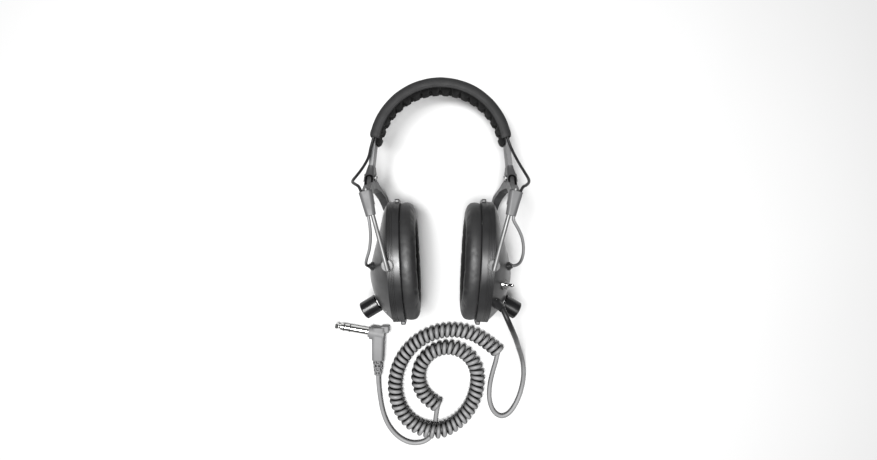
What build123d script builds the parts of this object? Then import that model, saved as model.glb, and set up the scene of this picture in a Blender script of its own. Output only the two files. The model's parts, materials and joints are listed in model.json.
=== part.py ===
from build123d import *
import math
import os

# Radio headphones lying on their back on a flat surface, in millimetres.
# Row frame: +X to the wearer's toggle side, +Y to the crown of the headband, +Z up from the surface.
# The headset is drawn in its own frame first: X across, Y from the cup pivots to the crown, Z from
# the middle plane to the front. STAND then puts that frame on the surface.

# Where the headset stands in the row frame
PIVOT_Y = -46.9
PIVOT_Z = 47.2

# Headband
BAND_Y = 87.4
STRAP_R = 53.2
STRAP_THICK = 3.4
STRAP_WIDE = 15.0
STRAP_FLARE_DEG = 5.9
STRAP_ARM = 30.0
COVER_R = 55.7
COVER_SKIN = 0.7
COVER_DEEP = 7.6
COVER_HALF = 16.0
COVER_ROUND = 2.2
COVER_ROUND_IN = 1.4
COVER_END_DEG = 10.0
PAD_END_DEG = 7.0
PAD_HALF = 14.8
PAD_TOP_R = 51.4
LOBE_R = 4.9
LOBE_COUNT = 18
LOBE_TIP_R = 48.0
LOBE_NOTCH = 2.7

# Forks, sleeves and sliding rods. The rear rods stand nearer the wearer's head than the front ones
ROD_R = 1.5
ROD_SLOPE_DEG = 15.15
ROD_Z = 44.5
ROD_JOG = 1.2
ROD_TOP = 54.5
ROD_JOG_START = 12.0
ROD_PAST = 2.8
REAR_INSET = 2.5
STUB_END_Z = 33.0
SLIDE_GAP = 0.12
SLEEVE_LOW = 36.0
SLEEVE_TOP = 53.0
SLEEVE_WALL_R = 2.7
FORK_THICK = 6.2
HUB_THICK = 7.4
HUB_ROUND = 1.9
# Hub sections: distance down the strap's arm, width across the strap, thickness
HUB = ((16.8, 16.2, 4.4), (20.0, 17.4, 5.6), (24.4, 21.4, 7.0), (30.6, 27.0, HUB_THICK))
# Each leg's outline: distance out from the middle plane, height above the sleeve's top
LEG_OUTLINE = (
    (-1.5, 14.0), (11.5, 14.0), (15.0, 11.6), (24.0, 7.2), (36.0, 3.6), (44.6, 0.8), (45.6, -1.6),
    (41.0, -10.5), (39.0, -6.5), (32.0, -1.0), (18.0, 3.4), (0.0, 4.6), (-1.5, 4.6),
)
# Sleeve sections at the low and the top end: half width towards the head and away from it
SLEEVE_FRONT = ((2.3, 5.0), (4.2, 5.6))
SLEEVE_REAR = ((2.8, 2.8), (3.1, 3.1))
RIVET_DOWN = 26.0
RIVET_AT_Z = 4.0
RIVET_R = 1.6
RIVET_HEAD_R = 2.5
RIVET_HEAD_THICK = 0.7
LEAD_R = 1.1
LEAD_GAP = 0.2
LEAD_OFFSET = 3.3
LEAD_END_UP = 4.1

# Ear cups: distances along the cup axis are counted outwards from the pivot axis
CUP_X = 38.2
CUP_TOE_DEG = 3.0
CUP_WALL = 2.5
CUSHION_BACK = -9.0
CUSHION_FACE = -19.8
CUSHION_HALF = (46.0, 37.6)
EAR_HALF = (28.5, 20.5)
BAFFLE_BACK = -7.1
BAFFLE_FACE = -8.8
BAFFLE_HALF = (46.6, 38.0)
RIM_FACE = -8.5
RIM_HALF = (47.9, 39.3)
RIM_TOP = -4.6
TAB = (3.8, 3.2, 15.0)
TAB_Y = 47.9
BELT_HALF = (47.8, 39.2)
BELT_TOP = 0.8
GROOVE_COUNT = 4
GROOVE_PITCH = 1.2
GROOVE_WIDE = 0.45
GROOVE_DEEP = 0.35
# Dome sections: distance along the axis, centre height, half height, half depth
DOME = (
    (0.8, 0.0, 46.8, 38.3),
    (3.3, -0.5, 43.9, 35.6),
    (6.3, -4.0, 37.2, 31.4),
    (9.3, -7.2, 30.4, 26.8),
    (12.3, -9.2, 23.4, 21.4),
    (15.0, -9.8, 15.6, 14.8),
    (17.2, -9.6, 7.6, 7.4),
    (18.0, -9.5, 2.6, 2.6),
)
BUSH_R = 3.9
BOSS_R = 4.3
BUSH_TUBE_R = 2.55
BOSS_FACE_Z = 40.8
BUSH_FACE_Z = 42.0
SCREW_SPOTS = ((30.0, 23.5), (30.0, -23.5), (-30.0, 23.5), (-30.0, -23.5))

# Driver
DRIVER_Y = -3.0
DRIVER_R = 25.0
MAGNET_R = 12.0

# Fittings on the cups: a point on the shell and the outward direction, in the headset's frame
KNOB_AT = (47.9, -31.4, 0.0)
KNOB_DIR = (0.860, -0.510, 0.0)
KNOB_R = 7.1
KNOB_LONG = 13.0
GROMMET_AT = (51.6, -2.2, 17.0)
GROMMET_DIR = (0.76, 0.10, 0.642)
TOGGLE_AT = (46.3, -15.2, 24.2)
TOGGLE_DIR = (0.66, 0.0, 0.751)
TOGGLE_PIN_UP = 1.6
GLAND_AT = (41.5, -29.0, 26.3)
GLAND_DIR = (0.5, -0.45, 0.74)
GLAND_LONG = 8.0

# Cord, in the row frame
CORD_R = 2.0
CORD_LEAD = (
    (45.5, -79.5, 79.4), (47.2, -83.6, 82.2), (51.0, -92.0, 80.4), (56.0, -101.6, 69.0),
    (60.5, -110.6, 52.0), (65.0, -120.0, 34.5), (69.8, -130.0, 18.0), (73.6, -141.0, 6.6),
    (74.8, -152.5, 2.1), (72.6, -164.5, 2.1), (68.4, -176.0, 2.1), (61.6, -186.2, 2.1),
    (53.4, -189.0, 2.1), (46.4, -183.0, 2.1), (43.4, -172.0, 2.1), (44.2, -159.5, 2.1),
    (46.4, -147.6, 2.1), (49.0, -137.2, 3.4), (52.4, -128.6, 6.0),
)
CORD_TAIL = (
    (-7.6, -174.3, 6.2), (-4.2, -177.9, 3.4), (-2.2, -184.0, 2.1), (-2.6, -193.5, 2.1),
    (-6.4, -204.0, 2.1), (-15.0, -211.6, 2.1), (-27.0, -212.6, 2.1), (-38.6, -206.4, 2.1),
    (-47.0, -196.0, 2.1), (-51.8, -183.6, 2.1), (-54.0, -170.6, 2.1), (-55.1, -159.6, 3.2),
    (-55.3, -149.4, 5.6),
)
COIL_R = 6.6
COIL_Z = 6.8
COIL_CENTRE_OUT = (8.2, -158.0)
COIL_CENTRE_IN = (7.2, -152.0)
COIL_FROM_DEG = 36.0
COIL_TO_DEG = 592.0
COIL_STEPS = 26
COIL_OUT_R = 51.8
COIL_SHRINK = 0.032
COIL_IN_R = 26.6
COIL_TURN_IN_DEG = (200.0, 360.0)
COIL_HUMP = (257.0, 34.0, 4.4)

# Plug
PLUG_AT = (-63.6, -111.6, 6.2)
SHAFT_TURN_DEG = 169.9
SHAFT_R = 3.175
SHAFT_LONG = 30.4
PLUG_ELBOW = (-54.6, -113.2, 6.2)
PLUG_HANDLE_END = (-55.2, -136.2, 6.2)
RELIEF_END = (-55.3, -149.4, 5.6)

# Leads between the cups, in the headset's frame, given for each side with X outwards
LOOP_ROUTES = {
    "left": ((52.3, 96.4, 10.5), (54.4, 89.6, 10.6), (55.3, 82.0, 12.5), (58.6, 73.6, 18.0),
             (62.4, 66.2, 25.0), (65.2, 60.6, 32.6), (61.2, 58.2, 39.4)),
    "right": ((52.3, 96.4, 10.5), (54.2, 90.4, 10.4), (57.4, 82.2, 14.0), (60.4, 74.4, 19.4),
              (63.4, 67.2, 25.6), (65.2, 61.4, 32.0), (62.0, 57.6, 38.8)),
}
CUP_LEAD_ROUTES = {
    "left": ((50.2, 30.0, 44.2), (49.8, 21.6, 41.4), (51.4, 11.4, 35.6), (54.6, 3.6, 30.6),
             (56.2, -1.2, 23.6)),
    "right": ((51.6, 31.4, 44.0), (55.2, 26.2, 42.0), (58.6, 19.6, 38.8), (60.4, 11.8, 34.4),
              (60.2, 4.6, 30.0), (58.4, -1.1, 22.8)),
}

STAND = Pos(0, PIVOT_Y, PIVOT_Z)
CUP = Pos(CUP_X, 0, 0) * Rot(0, 0, -CUP_TOE_DEG)
ROD_LEAN = (math.sin(math.radians(ROD_SLOPE_DEG)), math.cos(math.radians(ROD_SLOPE_DEG)))


def save(node, shape):
    """Writes one node, already in the row frame."""
    shape.label = node
    export_step(shape, f"parts/{node}.step")


def save_headset(node, shape):
    save(node, STAND * shape)


def save_pair(stem, shape):
    """Writes the right piece and its mirror image on the left."""
    save_headset(f"{stem}_right", shape)
    save_headset(f"{stem}_left", mirror(shape, about=Plane.YZ))


def ring(height, radius, hole=0.0):
    """A tube or disc along Z that starts at Z = 0."""
    body = Cylinder(radius, height, align=(Align.CENTER, Align.CENTER, Align.MIN))
    if hole:
        body -= Cylinder(hole, 3 * height)
    return body


def facing(point, direction):
    """A place whose Z points along the direction."""
    return Plane(origin=point, z_dir=direction).location


def cup_plane(distance, centre_y=0.0):
    """Across the cup axis: local X is the cup's height, local Y its depth."""
    return Plane(origin=(distance, centre_y, 0), x_dir=(0, 1, 0), z_dir=(1, 0, 0))


def oval(low, high, half):
    return extrude(cup_plane(low) * Ellipse(half[0], half[1]), high - low)


def rod_point(height, offset=0.0):
    """A point beside the rod's axis line at the given height above the pivot, in the X-Y plane."""
    across = CUP_X + height * math.tan(math.radians(ROD_SLOPE_DEG))
    return (across + offset * ROD_LEAN[1], height - offset * ROD_LEAN[0])


def corner_radii(points):
    """The largest arc that each corner's two runs allow."""
    radii = []
    for before, here, after in zip(points, points[1:], points[2:]):
        first = Vector(*here) - Vector(*before)
        second = Vector(*after) - Vector(*here)
        half_turn = math.radians(first.get_angle(second)) / 2
        radii.append(0.45 * min(first.length, second.length) / math.tan(half_turn))
    return radii


def tube(name, points, radius):
    """A cord along straight runs joined by tangent arcs."""
    radii = corner_radii(points)
    path = FilletPolyline(*points, radius=radii)
    start = Plane(origin=points[0], z_dir=path % 0)
    body = sweep(start * Circle(radius), path=path)
    expected = math.pi * radius**2 * path.length
    print(name, "length", round(path.length, 1), "volume ratio", round(body.volume / expected, 4),
          "smallest radius", round(min(radii), 1), [round(r, 1) for r in radii])
    return body


# ---- Headband ----

def arm_point(down):
    """A point on the middle of the right arm, that far below where it leaves the band's arc."""
    flare = math.radians(STRAP_FLARE_DEG)
    across = STRAP_R * math.cos(flare) + down * math.sin(flare)
    return (across, BAND_Y + STRAP_R * math.sin(flare) - down * math.cos(flare))


def arm_normal(side):
    flare = math.radians(STRAP_FLARE_DEG)
    return (side * math.cos(flare), math.sin(flare), 0)


def headband_strap():
    foot = arm_point(0)
    end = arm_point(STRAP_ARM)
    path = Wire([
        Line((-end[0], end[1]), (-foot[0], foot[1])).edge(),
        ThreePointArc((-foot[0], foot[1]), (0, BAND_Y + STRAP_R), foot).edge(),
        Line(foot, end).edge(),
    ])
    start = Plane(origin=path @ 0, x_dir=(0, 0, 1), z_dir=path % 0)
    strap = sweep(start * Rectangle(STRAP_WIDE, STRAP_THICK), path=path)
    for side in (-1, 1):
        for across, height, z in rivet_spots():
            strap -= facing((side * across, height, z), arm_normal(side)) * Cylinder(RIVET_R, 20)
    return strap


def band_sweep(profile, end_deg):
    """Turns a profile drawn in the X-Z plane (X = radius) round the band's centre."""
    turned = revolve(profile, Axis.Z, 180 - 2 * end_deg)
    return Pos(0, BAND_Y, 0) * Rot(0, 0, end_deg) * turned


def headband_cover():
    low = COVER_R - COVER_DEEP
    outer = RectangleRounded(COVER_DEEP, 2 * COVER_HALF, COVER_ROUND)
    outer = Plane.XZ * Pos(COVER_R - COVER_DEEP / 2, 0) * outer
    inner_half = COVER_HALF - COVER_SKIN
    inner_deep = COVER_DEEP + 4
    inner = RectangleRounded(inner_deep, 2 * inner_half, COVER_ROUND_IN)
    inner = Plane.XZ * Pos(COVER_R - COVER_SKIN - inner_deep / 2, 0) * inner
    mouth = Plane.XZ * Pos(low, 0) * Rectangle(3.0, 2 * inner_half)
    return band_sweep(outer - inner - mouth, COVER_END_DEG)


def headband_pad():
    """Foam under the strap whose inner side is a row of soft lobes."""
    base_low = LOBE_TIP_R + LOBE_NOTCH
    base = Rectangle(PAD_TOP_R - base_low, 2 * PAD_HALF)
    pad = band_sweep(Plane.XZ * Pos((PAD_TOP_R + base_low) / 2, 0) * base, PAD_END_DEG)
    centre_r = LOBE_TIP_R + LOBE_R
    step = (180 - 2 * PAD_END_DEG) / LOBE_COUNT
    deep = 10.0
    whole = Rectangle(deep, 2 * PAD_HALF)
    keep = band_sweep(Plane.XZ * Pos(PAD_TOP_R - deep / 2, 0) * whole, PAD_END_DEG)
    lobe = Cylinder(LOBE_R, 2 * PAD_HALF)
    for number in range(LOBE_COUNT):
        angle = math.radians(PAD_END_DEG + (number + 0.5) * step)
        place = Pos(centre_r * math.cos(angle), BAND_Y + centre_r * math.sin(angle), 0)
        pad += place * lobe
    return pad & keep


def bridge_lead():
    """The lead that crosses from cup to cup beside the strap, inside the cover."""
    section = Plane.XZ * Pos(STRAP_R - 0.2, 10.5) * Circle(LEAD_R)
    return band_sweep(section, COVER_END_DEG)


# ---- Forks, sleeves and rods ----

def rivet_spots():
    return [(*arm_point(RIVET_DOWN), z) for z in (-RIVET_AT_Z, RIVET_AT_Z)]


def leg_plane(side):
    """Contains that side's rod line: local X runs out to the sleeve, local Y up along the rods."""
    turn = math.asin(-rod_inset(side) / ROD_Z)
    out = (-math.sin(turn) * ROD_LEAN[1], math.sin(turn) * ROD_LEAN[0], side * math.cos(turn))
    normal = Vector(*out).cross(Vector(*ROD_LEAN, 0))
    return Plane(origin=(*rod_point(SLEEVE_TOP), 0), x_dir=out, z_dir=normal)


def rod_inset(side):
    """How far that rod stands inside the front rod's line."""
    return -REAR_INSET if side < 0 else 0.0


def sleeve(side):
    """A tapered tube round the rod; the front one is oval and holds the lead too."""
    def section(height, inner, outer):
        centre = rod_point(height, (outer - inner) / 2 + rod_inset(side))
        plane = Plane(origin=(*centre, side * ROD_Z), x_dir=(ROD_LEAN[1], -ROD_LEAN[0], 0),
                      z_dir=(ROD_LEAN[0], ROD_LEAN[1], 0))
        return plane * RectangleRounded(inner + outer, 2 * SLEEVE_WALL_R, SLEEVE_WALL_R - 0.05)
    low, top = SLEEVE_REAR if side < 0 else SLEEVE_FRONT
    return loft([section(SLEEVE_LOW, *low), section(SLEEVE_TOP, *top)])


def rod_bore(side, offset, radius, low, high):
    base = rod_point(low, offset)
    length = (high - low) / ROD_LEAN[1]
    place = facing((*base, side * ROD_Z), (ROD_LEAN[0], ROD_LEAN[1], 0))
    return place * Cylinder(radius, length, align=(Align.CENTER, Align.CENTER, Align.MIN))


def hub():
    """Flares from the strap's arm down to the legs."""
    flare = math.radians(STRAP_FLARE_DEG)
    sections = []
    for down, wide, thick in HUB:
        plane = Plane(origin=(*arm_point(down), 0), x_dir=(0, 0, 1),
                      z_dir=(math.sin(flare), -math.cos(flare), 0))
        sections.append(plane * RectangleRounded(wide, thick, HUB_ROUND))
    return loft(sections)


def fork():
    """Hub on the strap, two diagonal legs, and a sleeve at the end of each leg."""
    body = hub()
    for side in (-1, 1):
        leg = make_face(Polyline(*LEG_OUTLINE, close=True))
        body += extrude(leg_plane(side) * leg, FORK_THICK / 2, both=True) + sleeve(side)
    for side in (-1, 1):
        body -= rod_bore(side, rod_inset(side), ROD_R + SLIDE_GAP, SLEEVE_LOW - 5, SLEEVE_TOP + 22)
    body -= rod_bore(1, LEAD_OFFSET, LEAD_R + LEAD_GAP, SLEEVE_LOW - 5, SLEEVE_TOP + 12)
    body -= Pos(*arm_point(STRAP_ARM / 2), 0) * Rot(0, 0, STRAP_FLARE_DEG) * Box(
        STRAP_THICK + 0.02, STRAP_ARM + 0.4, STRAP_WIDE + 0.02)
    for rivet in rivet_spots():
        place = facing(rivet, arm_normal(1))
        body -= place * Cylinder(RIVET_R, 20)
        for turn in (0, 180):
            body -= place * Rot(turn, 0, 0) * Pos(0, 0, HUB_THICK / 2 + 0.15) * ring(6.0, RIVET_HEAD_R + 0.2)
    return body


def fork_rivets():
    """Two rivets through each hub and strap end, as one group of separate solids."""
    reach = HUB_THICK / 2 + 0.2
    shank = Cylinder(RIVET_R, 2 * reach)
    head = Pos(0, 0, reach) * ring(RIVET_HEAD_THICK, RIVET_HEAD_R)
    rivet = shank + head + mirror(head, about=Plane.XY)
    group = []
    for side in (-1, 1):
        for across, height, z in rivet_spots():
            group.append(facing((side * across, height, z), arm_normal(side)) * rivet)
    return Compound(children=group)


def rod(side):
    """Round wire from the sleeve down past the pivot, with a stub that turns in the cup."""
    inset = rod_inset(side)
    top = (*rod_point(ROD_TOP, inset), side * ROD_Z)
    jog = (*rod_point(ROD_JOG_START, inset), side * ROD_Z)
    end = (*rod_point(-ROD_PAST), side * (ROD_Z + ROD_JOG))
    path = FilletPolyline(top, jog, end, radius=14.0)
    wire = sweep(Plane(origin=top, z_dir=path % 0) * Circle(ROD_R), path=path)
    wire += Pos(*end) * Sphere(ROD_R)
    stub_long = ROD_Z + ROD_JOG - STUB_END_Z
    stub = Pos(*rod_point(0), STUB_END_Z) * ring(stub_long, ROD_R)
    return wire + (stub if side > 0 else mirror(stub, about=Plane.XY))


# ---- Leads between the cups ----

def sleeve_lead_points(low, high):
    """The lead's straight run inside the front sleeve, upper end first."""
    return ((*rod_point(high, LEAD_OFFSET), ROD_Z), (*rod_point(low, LEAD_OFFSET), ROD_Z))


def lead_loop(side):
    sleeve_middle = (SLEEVE_LOW + SLEEVE_TOP) / 2
    upper, lower = sleeve_lead_points(sleeve_middle, SLEEVE_TOP + 3.4)
    return tube(f"lead_loop_{side}", LOOP_ROUTES[side] + (upper, lower), LEAD_R)


def cup_lead(side):
    sleeve_middle = (SLEEVE_LOW + SLEEVE_TOP) / 2
    upper, lower = sleeve_lead_points(SLEEVE_LOW - 0.6, sleeve_middle)
    grommet_end = Vector(*GROMMET_AT) + Vector(*GROMMET_DIR) * LEAD_END_UP
    return tube(f"cup_lead_{side}", (upper, lower) + CUP_LEAD_ROUTES[side] + (tuple(grommet_end),), LEAD_R)


# ---- Ear cups ----

def dome(shrink):
    """The outer dome, or the space inside a wall of that thickness."""
    sections = []
    for distance, centre_y, tall, deep in DOME:
        if tall > shrink + 1.0:
            plane = cup_plane(distance - 0.8 * shrink, centre_y)
            sections.append(plane * Ellipse(tall - shrink, deep - shrink))
    return loft(sections)


def cup_outside():
    """Dome, belt and rim, filled, with a tab at the top and bottom and a pad for each pivot."""
    body = dome(0.0) + oval(RIM_TOP, BELT_TOP, BELT_HALF) + oval(RIM_FACE, RIM_TOP, RIM_HALF)
    tab = Box(*TAB)
    tab = fillet(tab.edges(), 0.9)
    for end in (-1, 1):
        body += Pos((RIM_FACE + RIM_TOP) / 2, end * TAB_Y, 0) * tab
    for side in (-1, 1):
        body += Pos(0, 0, side * (BOSS_FACE_Z - 5.8)) * Cylinder(BOSS_R, 11.6)
    return body


def cup_hollow():
    """The space inside the shell, less the screw posts and the pivot bosses, and the baffle's seat."""
    half = (BELT_HALF[0] - CUP_WALL - 0.4, BELT_HALF[1] - CUP_WALL - 0.4)
    space = oval(BAFFLE_BACK - 1, BELT_TOP - 0.8 * CUP_WALL + 0.01, half) + dome(CUP_WALL)
    for y, z in SCREW_SPOTS:
        space -= Pos(BAFFLE_BACK + 0.2, y, z) * Rot(0, 90, 0) * ring(26.0, 2.9)
    for side in (-1, 1):
        space -= Pos(0, 0, side * 40.0) * Cylinder(BOSS_R, 19.0)
    seat = (BAFFLE_HALF[0] + 0.3, BAFFLE_HALF[1] + 0.3)
    return space + oval(RIM_FACE - 1, BAFFLE_BACK + 0.2, seat)


def belt_groove(low):
    cutter = oval(low, low + GROOVE_WIDE, (BELT_HALF[0] + 1, BELT_HALF[1] + 1))
    return cutter - oval(low - 1, low + 2, (BELT_HALF[0] - GROOVE_DEEP, BELT_HALF[1] - GROOVE_DEEP))


def drill(shape, point, direction, radius, length=24.0):
    return shape - facing(point, direction) * Cylinder(radius, length)


def cup_fitting_holes(shape, right):
    """Holes for the fittings, in the headset's frame."""
    shape = drill(shape, KNOB_AT, KNOB_DIR, 3.6)
    shape = drill(shape, GROMMET_AT, GROMMET_DIR, 2.2, 16.0)
    if right:
        shape = drill(shape, TOGGLE_AT, TOGGLE_DIR, 2.6, 16.0)
        shape = drill(shape, GLAND_AT, GLAND_DIR, 2.9, 16.0)
    return shape


def cup_shell(right):
    shell = cup_outside() - cup_hollow()
    for y, z in SCREW_SPOTS:
        shell -= Pos(BAFFLE_BACK, y, z) * Rot(0, 90, 0) * ring(10.0, 1.3)
    for side in (-1, 1):
        shell -= Pos(0, 0, side * 36) * Cylinder(BUSH_TUBE_R, 30)
    for number in range(GROOVE_COUNT):
        shell -= belt_groove(RIM_TOP + 0.7 + number * GROOVE_PITCH)
    return cup_fitting_holes(CUP * shell, right)


def pivot_bushes():
    pair = []
    for side in (-1, 1):
        flange = Pos(0, 0, BOSS_FACE_Z) * ring(BUSH_FACE_Z - BOSS_FACE_Z, BUSH_R)
        barrel = Pos(0, 0, 31.0) * ring(BUSH_FACE_Z - 31.0, BUSH_TUBE_R - 0.02)
        bush = flange + barrel - Pos(0, 0, 36) * Cylinder(ROD_R + SLIDE_GAP, 20)
        pair.append(bush if side > 0 else mirror(bush, about=Plane.XY))
    return CUP * Compound(children=pair)


def baffle_plate():
    plate = oval(BAFFLE_FACE, BAFFLE_BACK, BAFFLE_HALF)
    plate -= Pos(0, DRIVER_Y, 0) * Rot(0, 90, 0) * Cylinder(DRIVER_R - 4.0, 40)
    for y, z in SCREW_SPOTS:
        plate -= Pos(BAFFLE_FACE - 1, y, z) * Rot(0, 90, 0) * ring(6.0, 1.4)
        plate -= Pos(BAFFLE_FACE - 0.1, y, z) * Rot(0, 90, 0) * ring(1.0, 2.5)
    return CUP * plate


def cup_screws():
    screws = []
    for y, z in SCREW_SPOTS:
        head = ring(0.8, 2.4)
        shank = ring(8.5, 1.2)
        slot = Box(0.6, 3.6, 0.8)
        screws.append(Pos(BAFFLE_FACE, y, z) * Rot(0, 90, 0) * (head + shank - slot))
    return CUP * Compound(children=screws)


def ear_cushion():
    body = oval(CUSHION_FACE, CUSHION_BACK, CUSHION_HALF)
    body = fillet(body.edges().group_by(Axis.X)[0], 4.0)
    hole = oval(CUSHION_FACE - 1, CUSHION_BACK + 1, EAR_HALF)
    return CUP * (body - hole)


def foam_screen():
    """Thin foam in the ear opening, in front of the driver."""
    return CUP * oval(BAFFLE_FACE - 2.4, BAFFLE_FACE - 0.2, (EAR_HALF[0] - 0.4, EAR_HALF[1] - 0.4))


def driver_place(distance):
    return CUP * Pos(distance, DRIVER_Y, 0) * Rot(0, 90, 0)


def driver_frame():
    """Basket behind the baffle, with a seat for the magnet."""
    rim = ring(1.6, DRIVER_R, DRIVER_R - 3.0)
    wall = Cone(DRIVER_R - 2.0, MAGNET_R + 2.0, 4.0, align=(Align.CENTER, Align.CENTER, Align.MIN))
    wall -= Pos(0, 0, -1.2) * Cone(DRIVER_R - 2.0, MAGNET_R + 2.0, 4.0,
                                   align=(Align.CENTER, Align.CENTER, Align.MIN))
    return driver_place(BAFFLE_BACK) * (rim + Pos(0, 0, 1.2) * wall)


def driver_diaphragm():
    skirt = Cone(DRIVER_R - 5.0, 8.0, 1.2, align=(Align.CENTER, Align.CENTER, Align.MIN))
    return driver_place(BAFFLE_BACK + 0.3) * (ring(0.5, DRIVER_R - 3.3) + skirt)


def driver_magnet():
    return driver_place(BAFFLE_BACK + 5.3) * ring(7.0, MAGNET_R)


def volume_pot():
    """Potentiometer can inside the shell and its threaded bush through the wall."""
    can = Pos(0, 0, -11.2) * ring(7.0, 7.0)
    bush = Pos(0, 0, -4.3) * ring(6.6, 3.5, 1.6)
    return facing(KNOB_AT, KNOB_DIR) * (can + bush)


def pot_nut():
    nut = extrude(RegularPolygon(4.6, 6), 1.3) - Cylinder(3.5, 10)
    return facing(KNOB_AT, KNOB_DIR) * Pos(0, 0, 0.9) * nut


def pot_shaft():
    return facing(KNOB_AT, KNOB_DIR) * Pos(0, 0, -3.4) * ring(12.0, 1.5)


def volume_knob():
    """Plain cylinder, hollow over the nut."""
    knob = ring(KNOB_LONG, KNOB_R)
    knob = chamfer(knob.edges().group_by(Axis.Z)[-1], 0.7)
    knob -= ring(3.0, 5.6)
    knob -= ring(8.8, 1.52)
    return facing(KNOB_AT, KNOB_DIR) * Pos(0, 0, 2.6) * knob


def lead_grommet():
    collar = Pos(0, 0, -0.6) * ring(1.6, 3.3)
    neck = Pos(0, 0, -4.2) * ring(4.4, 2.1)
    nose = Pos(0, 0, 0.9) * Cone(2.6, 1.8, 2.5, align=(Align.CENTER, Align.CENTER, Align.MIN))
    return facing(GROMMET_AT, GROMMET_DIR) * (collar + neck + nose)


def toggle_body():
    can = Pos(0, 0, -13.4) * Box(7.4, 8.0, 9.0, align=(Align.CENTER, Align.CENTER, Align.MIN))
    bush = Pos(0, 0, -4.6) * ring(8.0, 2.5, 1.35)
    return facing(TOGGLE_AT, TOGGLE_DIR) * (can + bush)


def toggle_nut():
    nut = extrude(RegularPolygon(4.3, 6), 1.7) - Cylinder(2.5, 10)
    return facing(TOGGLE_AT, TOGGLE_DIR) * Pos(0, 0, 0.8) * nut


def toggle_lever():
    """A bat lever that rocks on a cross pin in the bush's mouth."""
    ball = Sphere(1.0)
    bat = Cone(0.7, 1.25, 8.0, align=(Align.CENTER, Align.CENTER, Align.MIN))
    tip = Pos(0, 0, 8.0) * Sphere(1.25)
    pin_at = Vector(*TOGGLE_AT) + Vector(*TOGGLE_DIR) * TOGGLE_PIN_UP
    pin = Pos(*pin_at) * Rot(90, 0, 0) * Cylinder(0.6, 2.2)
    return facing(TOGGLE_AT, TOGGLE_DIR) * Pos(0, 0, TOGGLE_PIN_UP) * (ball + bat + tip) + pin


def cord_gland():
    collar = Pos(0, 0, -0.6) * ring(2.0, 3.9)
    neck = Pos(0, 0, -4.2) * ring(4.4, 2.8)
    nose = Pos(0, 0, 1.2) * Cone(3.4, 2.7, GLAND_LONG - 1.2, align=(Align.CENTER, Align.CENTER, Align.MIN))
    return facing(GLAND_AT, GLAND_DIR) * (collar + neck + nose)


def wiring_board():
    board = Box(20.0, 16.0, 1.4, align=(Align.CENTER, Align.CENTER, Align.MIN))
    return driver_place(BAFFLE_BACK + 12.4) * board


# ---- Curly cord and plug ----

def coil_axis():
    """The curly cord's axis: an outer turn that winds in to a smaller one, in a loop of points."""
    points = []
    for number in range(COIL_STEPS + 1):
        angle = COIL_FROM_DEG + (COIL_TO_DEG - COIL_FROM_DEG) * number / COIL_STEPS
        part = (angle - COIL_TURN_IN_DEG[0]) / (COIL_TURN_IN_DEG[1] - COIL_TURN_IN_DEG[0])
        part = min(max(part, 0.0), 1.0)
        ease = part * part * (3 - 2 * part)
        radius = (COIL_OUT_R - COIL_SHRINK * (angle - COIL_FROM_DEG)) * (1 - ease) + COIL_IN_R * ease
        centre = [a * (1 - ease) + b * ease for a, b in zip(COIL_CENTRE_OUT, COIL_CENTRE_IN)]
        away = abs(angle - COIL_HUMP[0]) / COIL_HUMP[1]
        lift = COIL_HUMP[2] * 0.5 * (1 + math.cos(math.pi * away)) if away < 1 else 0.0
        turn = math.radians(angle)
        points.append((centre[0] + radius * math.cos(turn), centre[1] + radius * math.sin(turn), COIL_Z + lift))
    return points


def along(start, end):
    """A place at start whose Z points to end, and the distance between them."""
    line = Vector(*end) - Vector(*start)
    return facing(start, tuple(line)), line.length


def plug_housing():
    """Moulded right-angle body: a head round the shaft's root and a tapered handle."""
    place, length = along(PLUG_AT, PLUG_ELBOW)
    head = place * (Pos(0, 0, 1.6) * ring(length + 3.6, 6.1))
    head += place * ring(1.7, 4.6)
    hold, reach = along(PLUG_ELBOW, PLUG_HANDLE_END)
    handle = hold * loft([Plane.XY.offset(-5.6) * RectangleRounded(11.6, 12.0, 3.0),
                          Plane.XY.offset(reach) * RectangleRounded(10.0, 10.4, 2.6)])
    socket = place * Pos(0, 0, -1) * ring(7.0, SHAFT_R - 0.4)
    return head + handle - socket


def plug_cap():
    """The moulded lug at the outer corner of the elbow."""
    lug = Box(7.0, 6.2, 9.0)
    return Pos(*(Vector(*PLUG_ELBOW) + Vector(5.8, 3.9, 0))) * fillet(lug.edges(), 1.2)


def plug_contacts():
    """Shaft pieces along Z from the shoulder: sleeve, insulator, ring, insulator and tip."""
    place = Pos(*PLUG_AT) * Rot(0, 0, SHAFT_TURN_DEG) * Rot(0, 90, 0)
    sleeve_long = 16.0
    gap = 1.1
    ring_long = 4.2
    sleeve_part = ring(sleeve_long, SHAFT_R) + Pos(0, 0, -5.8) * ring(6.0, SHAFT_R - 0.45)
    first = Pos(0, 0, sleeve_long) * ring(gap, SHAFT_R)
    ring_part = Pos(0, 0, sleeve_long + gap) * ring(ring_long, SHAFT_R)
    second = Pos(0, 0, sleeve_long + gap + ring_long) * ring(gap, SHAFT_R)
    tip_start = sleeve_long + 2 * gap + ring_long
    tip_long = SHAFT_LONG - tip_start
    outline = Polyline((0, 0), (SHAFT_R, 0), (SHAFT_R, 2.2), (2.0, 3.9), (2.0, 4.4), (2.95, 5.6),
                       (2.5, tip_long - 0.9), (1.4, tip_long), (0, tip_long), close=True)
    tip = Pos(0, 0, tip_start) * revolve(Plane.XZ * make_face(outline), Axis.Z)
    return {
        "plug_sleeve": place * sleeve_part,
        "plug_insulators": place * Compound(children=[first, second]),
        "plug_ring": place * ring_part,
        "plug_tip": place * tip,
    }


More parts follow.
